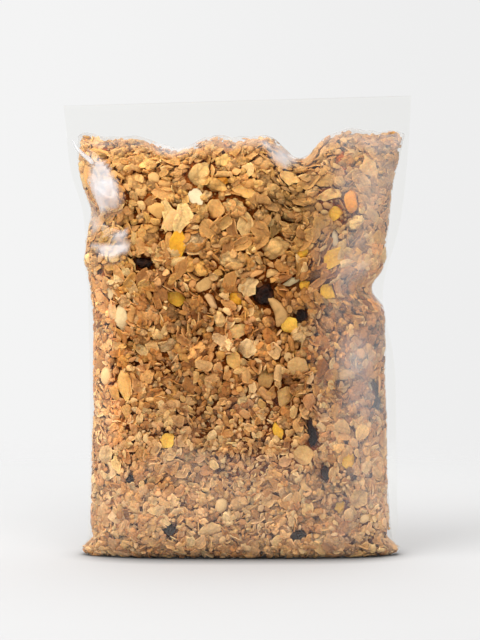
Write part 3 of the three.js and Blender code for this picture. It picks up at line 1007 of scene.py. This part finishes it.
def film_material(name, tint, edge_power, mirror_low, mirror_high, veiled):
    """Thin clear film: see-through, with the mirror reflection of its two faces, and where veiled, a milky
    veil that the attribute tone gives. The veil is the film's own milkiness where it is bunched. Where
    film_haze lays it over the right side, the foot and the taut facets, it is painted reflection and painted
    highlight."""
    material, add = node_material(name)
    here = add("TexCoord", out="Object")
    facing = add("LayerWeight", out="Facing", Blend=0.5)
    at_edge = add("Math", facing, edge_power, operation="POWER")
    mirror = add("MapRange", at_edge, 0, 1, mirror_low, mirror_high)
    through = add("BsdfTransparent", tint)
    if veiled:
        tone = add("Attribute", out="Fac", attribute_name="tone")
        cloud = add("TexNoise", here, out="Fac", Scale=55, Detail=4, Roughness=0.6)
        haze = add("Math", tone, add("MapRange", cloud, 0.3, 0.7, 0.55, 1.4), operation="MULTIPLY")
        through = add("MixShader", haze, through, add("BsdfDiffuse", MILK_AND_REFLECTION))
    crinkle = add("TexNoise", here, out="Fac", Scale=120, Detail=2, Roughness=0.5)
    relief = add("Bump", Height=crinkle, Strength=0.025, Distance=0.001)
    gloss = add("BsdfAnisotropic", WHITE, Roughness=0.08, Normal=relief)
    add("OutputMaterial", add("MixShader", mirror, through, gloss))
    return material


# ---- Meshes ----
def make_piece(name, points, faces, material, tone=None, grain=None, sharp=None):
    """points in millimetres. tone is a colour a point, and grain its place on its piece and its nearness to
    the rim. Edges that turn by more than sharp degrees are left sharp."""
    mesh = bpy.data.meshes.new(name)
    mesh.vertices.add(len(points))
    mesh.vertices.foreach_set("co", (points * MM).astype(np.float32).ravel())
    mesh.loops.add(faces.size)
    mesh.loops.foreach_set("vertex_index", faces.astype(np.int32).ravel())
    mesh.polygons.add(len(faces))
    mesh.polygons.foreach_set("loop_start", np.arange(0, faces.size, faces.shape[1], dtype=np.int32))
    mesh.update(calc_edges=True)
    mesh.polygons.foreach_set("use_smooth", np.ones(len(faces), bool))
    if sharp:
        mesh.set_sharp_from_angle(angle=math.radians(sharp))
    if tone is not None:
        colour = np.concatenate([tone, np.ones((len(tone), 1))], 1).astype(np.float32)
        mesh.color_attributes.new("tone", "FLOAT_COLOR", "POINT").data.foreach_set("color", colour.ravel())
    if grain is not None:
        places = grain.astype(np.float32)
        mesh.attributes.new("grain", "FLOAT_VECTOR", "POINT").data.foreach_set("vector", places.ravel())
    mesh.materials.append(material)
    piece = bpy.data.objects.new(name, mesh)
    bpy.context.scene.collection.objects.link(piece)
    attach(piece, "root")
    return piece


def lay(local, table):
    """Pieces' own points, tilted, turned and set down where the heap has them."""
    row, col, at, tilt, yaw = (table[:, k : k + 1] for k in (0, 1, 2, 6, 7))
    along, across, up = np.moveaxis(local, -1, 0)
    level = across * np.cos(tilt) - up * np.sin(tilt)
    height = across * np.sin(tilt) + up * np.cos(tilt) + at
    cols = col + (along * np.cos(yaw) - level * np.sin(yaw)) / CELL
    rows = row + (along * np.sin(yaw) + level * np.cos(yaw)) / CELL
    nearest = np.clip(np.abs(rows), 0, ROWS - 1).astype(int)
    ceiling = (LIFT - FILM_GAP)[nearest, cols.astype(int) % AROUND]
    return place(rows, cols, np.minimum(height, ceiling))


class Dresser:
    """Turns the heap's pieces that show into one mesh for each kind. All kinds share one row of random
    draws, so their order is part of the look."""

    def __init__(self, heap):
        self.rng = np.random.default_rng(77)
        self.made = []
        shown = np.bincount(heap.owner[heap.owner >= 0], minlength=len(heap.pieces))
        found = {}
        for cells, (kind, *numbers) in zip(shown, heap.pieces):
            if cells >= LEAST_CELLS.get(kind, LEAST_OF_OTHERS):
                found.setdefault(kind, []).append((*numbers, cells))
        self.tables = {}
        for kind, rows in found.items():
            self.tables[kind] = np.array(sorted(rows, key=lambda row: -row[-1]), float)

    def split(self, kind, fine_count):
        """The fine_count pieces of a kind that show the most, or all of them, and the rest."""
        table = self.tables[kind]
        count = len(table) if fine_count is None else fine_count
        return table[:count], table[count:]

    def build(self, name, batches, mix, material, jitter=0.07, sharp=None):
        """batches has a table, faces, points, shade and grain for each fineness of the kind's mesh."""
        parts = []
        start = 0
        for table, faces, local, shade, grain in batches:
            laid = lay(local, table)
            count, size = laid.shape[:2]
            every = faces[None] + (start + np.arange(count) * size)[:, None, None]
            tone = pick_tones(table, mix, self.rng, jitter)[:, None, :] * shade[..., None]
            parts.append([part.reshape(-1, 3) for part in (laid, every, tone, grain)])
            start += count * size
        points, faces, tone, grain = (np.concatenate(part) for part in zip(*parts))
        self.made.append(make_piece(name, points, faces, material, tone, grain, sharp))

    def plates(self, name, kind, forms, mix, material, slot="granola", jitter=0.07, fine_count=None, sharp=60,
               **how):
        """The fine_count pieces that show the most have the first form, and the rest the second."""
        batches = []
        for table, form in zip(self.split(kind, fine_count), forms):
            local, radius, u, v = plate_points(form, table[:, 3:6], self.rng, **how)
            middle = self.rng.normal(0, 0.3, (len(u), 1))
            grain = np.stack([u * 2 + np.arange(len(u))[:, None], (v - middle) * 5, radius], -1)
            batches.append((table, form[3], local, np.ones(radius.shape), grain))
        self.build(name, batches, mix, material, jitter, sharp)

    def balls(self, name, kind, finest, shape, mix, material, slot="granola", jitter=0.07, sharp=None,
              fine_count=None):
        """shape is a function and its own numbers. The fine_count pieces that show the most are the finest,
        and the rest are one round coarser."""
        form, *numbers = shape
        batches = []
        for table, rounds in zip(self.split(kind, fine_count), (finest, finest - 1)):
            if len(table):
                points, faces = ball_form(rounds)
                local, shade = form(points, table[:, 3:6], self.rng, *numbers)
                batches.append((table, faces, local, shade, local))
        self.build(name, batches, mix, material, jitter, sharp)

    def baked_on(self, name, kind, form, per_piece, most, material):
        """Flakes stuck to the clumps that show the most."""
        table = self.tables[kind][:most]
        local, shade = stuck_flakes(form, table[:, 3:6], self.rng, per_piece)
        faces = repeat_faces(form, per_piece)
        self.build(name, [(table, faces, local, shade, local)], CLUMP_MIX, material, 0.08)


def only(colours):
    return ((colours, 1),)


def make_oats(dresser, oat):
    """Whole, curled and broken oat flakes, and the large pale ones."""
    forms = (WIDE_PLATE, NARROW_PLATE)
    dresser.plates("oat_flakes", "flake", forms, OAT_MIX, oat, fine_count=520, curl=(0.2, 1.0))
    dresser.plates("curled_flakes", "curl", forms, OAT_MIX, oat, fine_count=330, curl=(1.1, 2.1), crumple=0.1,
                   fold=0.1)
    small_forms = (NARROW_PLATE, TINY_PLATE)
    dresser.plates("oat_splits", "split", small_forms, OAT_MIX, oat, fine_count=1000, sharp=None,
                   curl=(0.1, 0.9), cuts=3)
    dresser.plates("large_flakes", "big_flake", (FINE_PLATE,), BIG_FLAKE_MIX, oat, curl=(0.3, 0.8), cuts=0,
                   ragged=0.7, thick=1.0, crumple=0.2)


def make_fruit(dresser):
    """Yellow and orange fruit, pale yellow corn flakes and coconut chips."""
    fruit = crumbly("yellow_fruit", 0.4, 0.16, 0.3, bump=0.6, glaze=0.15, glow=0.3)
    chip = crumbly("coconut_chip", 0.5, 0.07, 0.12, rim=-0.12, bump=0.3)
    form = (FINE_PLATE,)
    dresser.plates("yellow_pieces", "yellow", form, only(YELLOW), fruit, "fruit", curl=(0.2, 0.7), thick=1.3,
                   ragged=0.8, crumple=0.12, fold=0.1)
    dresser.plates("orange_pieces", "orange", form, only(ORANGE), fruit, "fruit", curl=(0.2, 0.6), thick=1.1)
    dresser.plates("corn_flakes", "butter", form, only(BUTTER), fruit, "fruit", curl=(0.3, 0.7), thick=1.0,
                   crumple=0.2)
    dresser.plates("coconut_chips", "coconut", form, only(COCONUT), chip, "nut", jitter=0.03, curl=(0.1, 0.4),
                   thick=0.8, cuts=2, crumple=0.06)


def make_clumps(dresser, oat):
    """Clusters, clumps and crisp lumps, the larger ones with flakes baked on."""
    puff = crumbly("toasted_clump", 0.5, 0.26, 0.55, bump=0.8, sheen=0.25, cells=0.28, glaze=0.2, glow=0.15)
    dresser.balls("granola_clusters", "cluster", 4, (knobbly, 30, 0.42, 20), CLUMP_MIX, puff, fine_count=20)
    dresser.baked_on("cluster_flakes", "cluster", NARROW_PLATE, 7, 260, oat)
    dresser.balls("small_clumps", "clump", 3, (knobbly, 14, 0.45, 10), CLUMP_MIX, puff, fine_count=200)
    dresser.baked_on("clump_flakes", "clump", TINY_PLATE, 3, 620, oat)
    dresser.balls("pale_clumps", "pale_clump", 4, (knobbly, 10, 0.5, 6), PALE_CLUMP_MIX, oat)
    dresser.balls("crisp_lumps", "lump", 2, (knobbly, 8, 0.4, 5, 0.04), OAT_MIX, puff, fine_count=560)


def make_nuts_and_raisins(dresser):
    """Nuts, raisins and crumbs."""
    nut = crumbly("pale_kernel", 0.45, 0.07, 0.2, bump=0.2)
    crumb = crumbly("crumb", 0.65, 0.12, 0.3)
    dried = crumbly("dried_grape", 0.45, 0.35, 0.2, bump=1.0, sheen=0.2, glaze=0.2)
    dresser.balls("nut_chunks", "chunk", 2, (hewn,), CHUNK_MIX, nut, "nut", sharp=32, fine_count=520)
    dresser.balls("crumbs", "crumb", 1, (knobbly, 3, 0.4, 4, 0.1), CHUNK_MIX, crumb)
    dresser.balls("raisins", "raisin", 4, (wrinkled,), only(RAISIN), dried, "raisin")
    dresser.balls("pale_chunks", "pale_chunk", 3, (hewn,), PALE_CHUNK_MIX, nut, "nut", jitter=0.03, sharp=32)
    dresser.balls("nut_halves", "pale_nut", 3, (smooth_kernel,), only(NUT), nut, "nut", jitter=0.03)
    dresser.balls("curved_nuts", "curved_nut", 4, (bent_kernel,), only(KERNEL), nut, "nut", jitter=0.02)


def dress(heap):
    dresser = Dresser(heap)
    oat = crumbly("toasted_oat", 0.5, 0.26, 0.55, stripe=0.16, rim=0.3, bump=0.8, sheen=0.25, glaze=0.12,
                  glow=0.15, groove=0.18)
    make_oats(dresser, oat)
    make_fruit(dresser)
    make_clumps(dresser, oat)
    make_nuts_and_raisins(dresser)
    return dresser.made


def ring_quads(number):
    """The quads between rings of points. Each row of number is one ring, and it closes on itself."""
    after = np.roll(number, -1, 1)
    return np.stack([number[:-1], after[:-1], after[1:], number[1:]], -1).reshape(-1, 4)


def chart_sheet(step, heights):
    """A closed skin over the whole chart at the given heights: its points and quads. The first row folds
    onto itself under the base and the last along the top ridge, so each is welded."""
    rows = np.append(np.arange(0, ROWS - 1, step), ROWS - 1)
    cols = np.arange(0, AROUND, step)
    r, c = np.meshgrid(rows, cols, indexing="ij")
    points = place(r.astype(float), c.astype(float), heights[r, c]).reshape(-1, 3)
    number = np.arange(len(points)).reshape(r.shape)
    mirrored = np.minimum(np.arange(len(cols)), len(cols) - np.arange(len(cols)))
    for end in (0, -1):
        number[end] = number[end][mirrored]
    used, faces = np.unique(ring_quads(number), return_inverse=True)
    return points[used], faces.reshape(-1, 4), (r.ravel()[used], c.ravel()[used])


def make_core():
    points, faces, _ = chart_sheet(CORE_STEP, CORE_HEIGHT)
    material = crumbly("packed_core", 0.9, 0.4, 0.9, bump=0.8, sheen=0.05, cells=0.5)
    tone = CORE_TONE * (1 + CORE_LIGHTER * smooth_step(points[:, 2:], 120, 165))
    return make_piece("packed_core", points, faces, material, tone, np.zeros(points.shape))


def film_haze():
    """The share of the light that the film's milky veil scatters. Where the film is bunched it is the film's
    own milkiness. Over the right side and towards the foot it is painted reflection of the studio and the
    floor. Over the taut facets and the second veil it is a painted highlight that whitens the window's
    reflection."""
    # Painted reflection: the veil over the right side and towards the foot stands in for the studio's and the
    # floor's reflection in the film.
    haze = FRONT * RIGHT_REFLECTION_HAZE * smooth_step(X, 30, 58) * gauss(Z, 120, 100)
    haze += FOOT_REFLECTION_HAZE * (1 - smooth_step(Z, 40, 95))
    haze += TOP_HAZE * smooth_step(Z, 200, 206)
    haze += (1 - FRONT) * REAR_HAZE
    for corners, share in VEILS:
        haze += FRONT * share * (1 - smooth_step(outside(corners) + 0.5 * soft_noise(4, 52), -1.5, 2))
    # Painted highlight: the taut facets get more veil, which whitens the window's reflection there.
    return np.clip(haze * (1 + 0.3 * soft_noise(14, 51)) + TAUT_HIGHLIGHT_HAZE * TAUT, 0, 0.8)


def make_film(material):
    points, faces, (rows, cols) = chart_sheet(FILM_STEP, LIFT)
    points[:, 2] = np.maximum(points[:, 2], 0.02)
    haze = np.repeat(film_haze()[rows, cols][:, None], 3, 1)
    return make_piece("pouch_film", points, faces, material, haze)


def margin_line():
    """Stations from the foot of the left margin, over the header and down to the foot of the right margin,
    on the empty film's inner edge and on its outer edge."""
    heights = np.linspace(FIN_FOOT - 6, FILL_HEIGHT - 1, 70)
    ear = EAR_REACH * gauss(heights, EAR_LEVEL, 3.6)
    foot = smooth_step(heights, 3, 16)
    left_in = fill_left(heights) + TUCK
    right_in = fill_right(heights) - TUCK
    left_out = np.minimum(blend(fill_left(heights) - ear, film_left(heights), foot), left_in - TUCK - 0.8)
    right_out = np.maximum(blend(fill_right(heights) + ear, film_right(heights), foot), right_in + TUCK + 0.8)
    share = np.linspace(0, 1, 110)
    x_in = blend(fill_left(FILL_HEIGHT), fill_right(FILL_HEIGHT), share)
    x_out = blend(film_left(HEADER_LEFT), film_right(HEADER_RIGHT), share)

    def over(left, x, z, right):
        """Up the left side, along the top and down the right side."""
        sides = [np.stack([side, heights], 1) for side in (left, right)]
        return np.concatenate([sides[0], np.stack([x, z], 1), sides[1][::-1]])

    inner = over(left_in, x_in, settle(x_in, FILL_HEIGHT) + 0.6, right_in)
    return inner, over(left_out, x_out, film_top(x_out), right_out)


def make_margins(material):
    """The two plies of the empty film, joined at the edge: the header and both side margins."""
    inner, outer = margin_line()
    share = np.linspace(0, 1, MARGIN_COLUMNS)
    flat = blend(inner[:, None, :], outer[:, None, :], share[None, :, None])
    x, z = flat[..., 0], flat[..., 1]
    free = smooth_step(z, FILL_HEIGHT - 6, HEADER_RIGHT)
    wave = free * (1.3 * np.sin(x / 19 + 0.6) + 0.7 * np.sin(x / 8.5))
    wave += 0.5 * np.sin(z / 7 + x / 30) * smooth_step(np.abs(x), 72, 80)
    weld = gauss(z, SEAL_LINE, 1.0) * (z > FILL_HEIGHT)
    apart = (0.25 + 0.5 * free * (1 + np.sin(x / 13))) * (1 - share[None, :] ** 6) * (1 - 0.8 * weld)
    front = np.stack([x, wave - apart, z], -1)
    rear = np.stack([x, wave + apart, z], -1)
    rear[..., 2] -= 1.2 * free * share[None, :] ** 3
    loop = np.concatenate([front, rear[:, ::-1]], 1)
    number = np.arange(loop[..., 0].size).reshape(loop.shape[:2])
    faces = [ring_quads(number)[:, [0, 3, 2, 1]]]
    for ring, order in ((number[0], 1), (number[-1], -1)):
        near, far = ring[:MARGIN_COLUMNS], ring[::-1][:MARGIN_COLUMNS]
        faces.append(np.stack([near[:-1], near[1:], far[1:], far[:-1]], 1)[:, ::order])
    return make_piece("film_margins", loop.reshape(-1, 3), np.concatenate(faces), material)


def make_fold(material):
    """A fold of bunched film at the header's left corner: a flat spindle that tapers off at both ends."""
    share = (np.arange(FOLD_STEPS + 1) / FOLD_STEPS)[:, None, None]
    turn = (np.arange(FOLD_SIDES) * 2 * math.pi / FOLD_SIDES)[None, :, None]
    run = np.subtract(FOLD_TO, FOLD_FROM)
    aside = np.array((run[2], 0, -run[0])) / math.hypot(run[0], run[2])
    half = FOLD_HALF * (0.45 + 0.55 * share) * (1 - np.abs(2 * share - 1) ** 6) ** 0.5 + 0.04
    middle = FOLD_FROM + run * share + aside * 0.7 * np.sin(share * 5)
    points = middle + aside * half * np.cos(turn) + np.array((0, 0.35, 0)) * half * np.sin(turn)
    number = np.arange(points[..., 0].size).reshape(points.shape[:2])
    faces = [ring_quads(number)]
    for ring, order in ((number[0], -1), (number[-1], 1)):
        faces.append(ring[[[0, 1, 2, 3], [0, 3, 4, 5]]][:, ::order])
    points = points.reshape(-1, 3)
    # The fold's milkiness is bunched film and also a painted highlight along the fold.
    haze = np.full(points.shape, FOLD_HAZE_AND_HIGHLIGHT)
    return make_piece("film_folds", points, np.concatenate(faces), material, haze)


# ---- Stage ----
def paper_material():
    """Paper, painted lighter towards the back to make up for the shade and fall-off of light behind the pouch,
    painted darker where the pouch nearly touches it as a contact shadow, and faded out far away."""
    material, add = node_material("paper_floor")
    here = add("TexCoord", out="Object")
    away = add("VectorMath", here, out="Value", operation="LENGTH")
    fade = add("MapRange", away, *PAPER_FADE, 0, 1, interpolation_type="SMOOTHSTEP")
    # Painted light: lighter towards the back.
    shade = add("MapRange", add("SeparateXYZ", here, out="Y"), -0.3, 0.15, PAPER_NEAR, PAPER_FAR)
    # Painted contact shadow: darker where the pouch is near.
    open_to_light = add("AmbientOcclusion", out="AO", Distance=CONTACT_REACH, samples=6)
    contact = add("MapRange", open_to_light, 0, 1, CONTACT_SHADE, 1)
    paper = add("BsdfDiffuse", add("Math", shade, contact, operation="MULTIPLY"))
    add("OutputMaterial", add("MixShader", fade, paper, add("BsdfTransparent")))
    return material


def make_floor():
    bpy.ops.mesh.primitive_circle_add(vertices=96, radius=1.15, fill_type="NGON", location=(0, 0, -0.0003))
    floor = bpy.context.object
    floor.name = "floor"
    floor.data.materials.append(paper_material())


def make_world():
    """The camera sees a pale ground, painted a little lighter towards the left, on the key lamp's side, and
    food is lit evenly. The film mirrors a studio that is dark towards the viewer, with pale walls on both
    sides and behind."""
    world = bpy.data.worlds.new("studio")
    bpy.context.scene.world = world
    world.use_nodes = True
    add = node_builder(world.node_tree)
    x, y, z = add("SeparateXYZ", add("TexCoord", out="Generated")).node.outputs

    def ramp(axis, low, high, start, end):
        return add("MapRange", axis, low, high, start, end, interpolation_type="SMOOTHSTEP")

    level = ramp(x, 0.3, 0.8, 0.004, 0.9)
    for wall in ((x, -0.75, -0.98, 0, 0.9), (y, -0.1, 0.5, 0, 0.85), (z, 0.6, 1, 0, 0.12)):
        level = add("Math", level, ramp(*wall), operation="MAXIMUM")
    mirrored = add("Background", WHITE, level)
    soft = add("Background", WHITE, ramp(z, -0.1, 0.8, AMBIENT_LOW, AMBIENT_HIGH))
    # Painted light: the seen ground is lighter towards the left.
    seen = add("Background", WHITE, ramp(x, -0.09, 0.09, GROUND_LEFT, GROUND_RIGHT))
    lit = add("MixShader", add("LightPath", out="Is Glossy Ray"), soft, mirrored)
    add("OutputWorld", add("MixShader", add("LightPath", out="Is Camera Ray"), lit, seen))


def set_up(name, data, target, way, far):
    """Puts a lamp or camera far from the target, in the direction way, and turns it to look there."""
    item = bpy.data.objects.new(name, data)
    bpy.context.scene.collection.objects.link(item)
    item.location = target + Vector(way).normalized() * far
    item.rotation_euler = (target - item.location).to_track_quat("-Z", "Y").to_euler()
    return item


def area_light(name, way, far, size, power, mirrored=True, lights=True):
    """A soft lamp that looks at the middle of the pouch from the direction way."""
    data = bpy.data.lights.new(name, "AREA")
    data.shape = "RECTANGLE"
    data.size, data.size_y = size
    data.energy = power
    lamp = set_up(name, data, Vector((0, 0, 0.11)), way, far)
    lamp.visible_glossy = mirrored
    lamp.visible_diffuse = lights


def make_camera():
    data = bpy.data.cameras.new("camera")
    data.lens = LENS
    data.sensor_width = 36
    data.clip_end = 50
    way = (0, -math.cos(TILT), math.sin(TILT))
    bpy.context.scene.camera = set_up("camera", data, Vector(AIM) * MM, way, VIEW_FAR * MM)


make_camera()
bpy.context.scene.view_settings.view_transform = "Standard"
make_world()
make_floor()
area_light("key", (-0.78, -0.64, 0.82), 1.5, (1.1, 1.1), 17.5, mirrored=False)
area_light("window", WINDOW_WAY, 1.5, (0.5, 0.8), 3, lights=False)
area_light("top", (0.1, 0.3, 1.0), 1.4, (1.4, 1.4), 8, mirrored=False)
area_light("front", (0.4, -1.0, 0.85), 1.7, (1.1, 1.1), 10.6, mirrored=False)

pieces = dress(fill_pouch())
core = make_core()
clear_film = film_material("clear_film", (0.99, 0.99, 0.982, 1), 4.5, 0.07, 0.4, True)
body_film = make_film(clear_film)
fold = make_fold(clear_film)
margins = make_margins(film_material("header_film", (0.997, 0.997, 0.99, 1), 5.0, 0.02, 0.12, False))
for piece in pieces + [core, body_film]:
    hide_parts("granola")
for piece in (margins, fold):
    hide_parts("film")
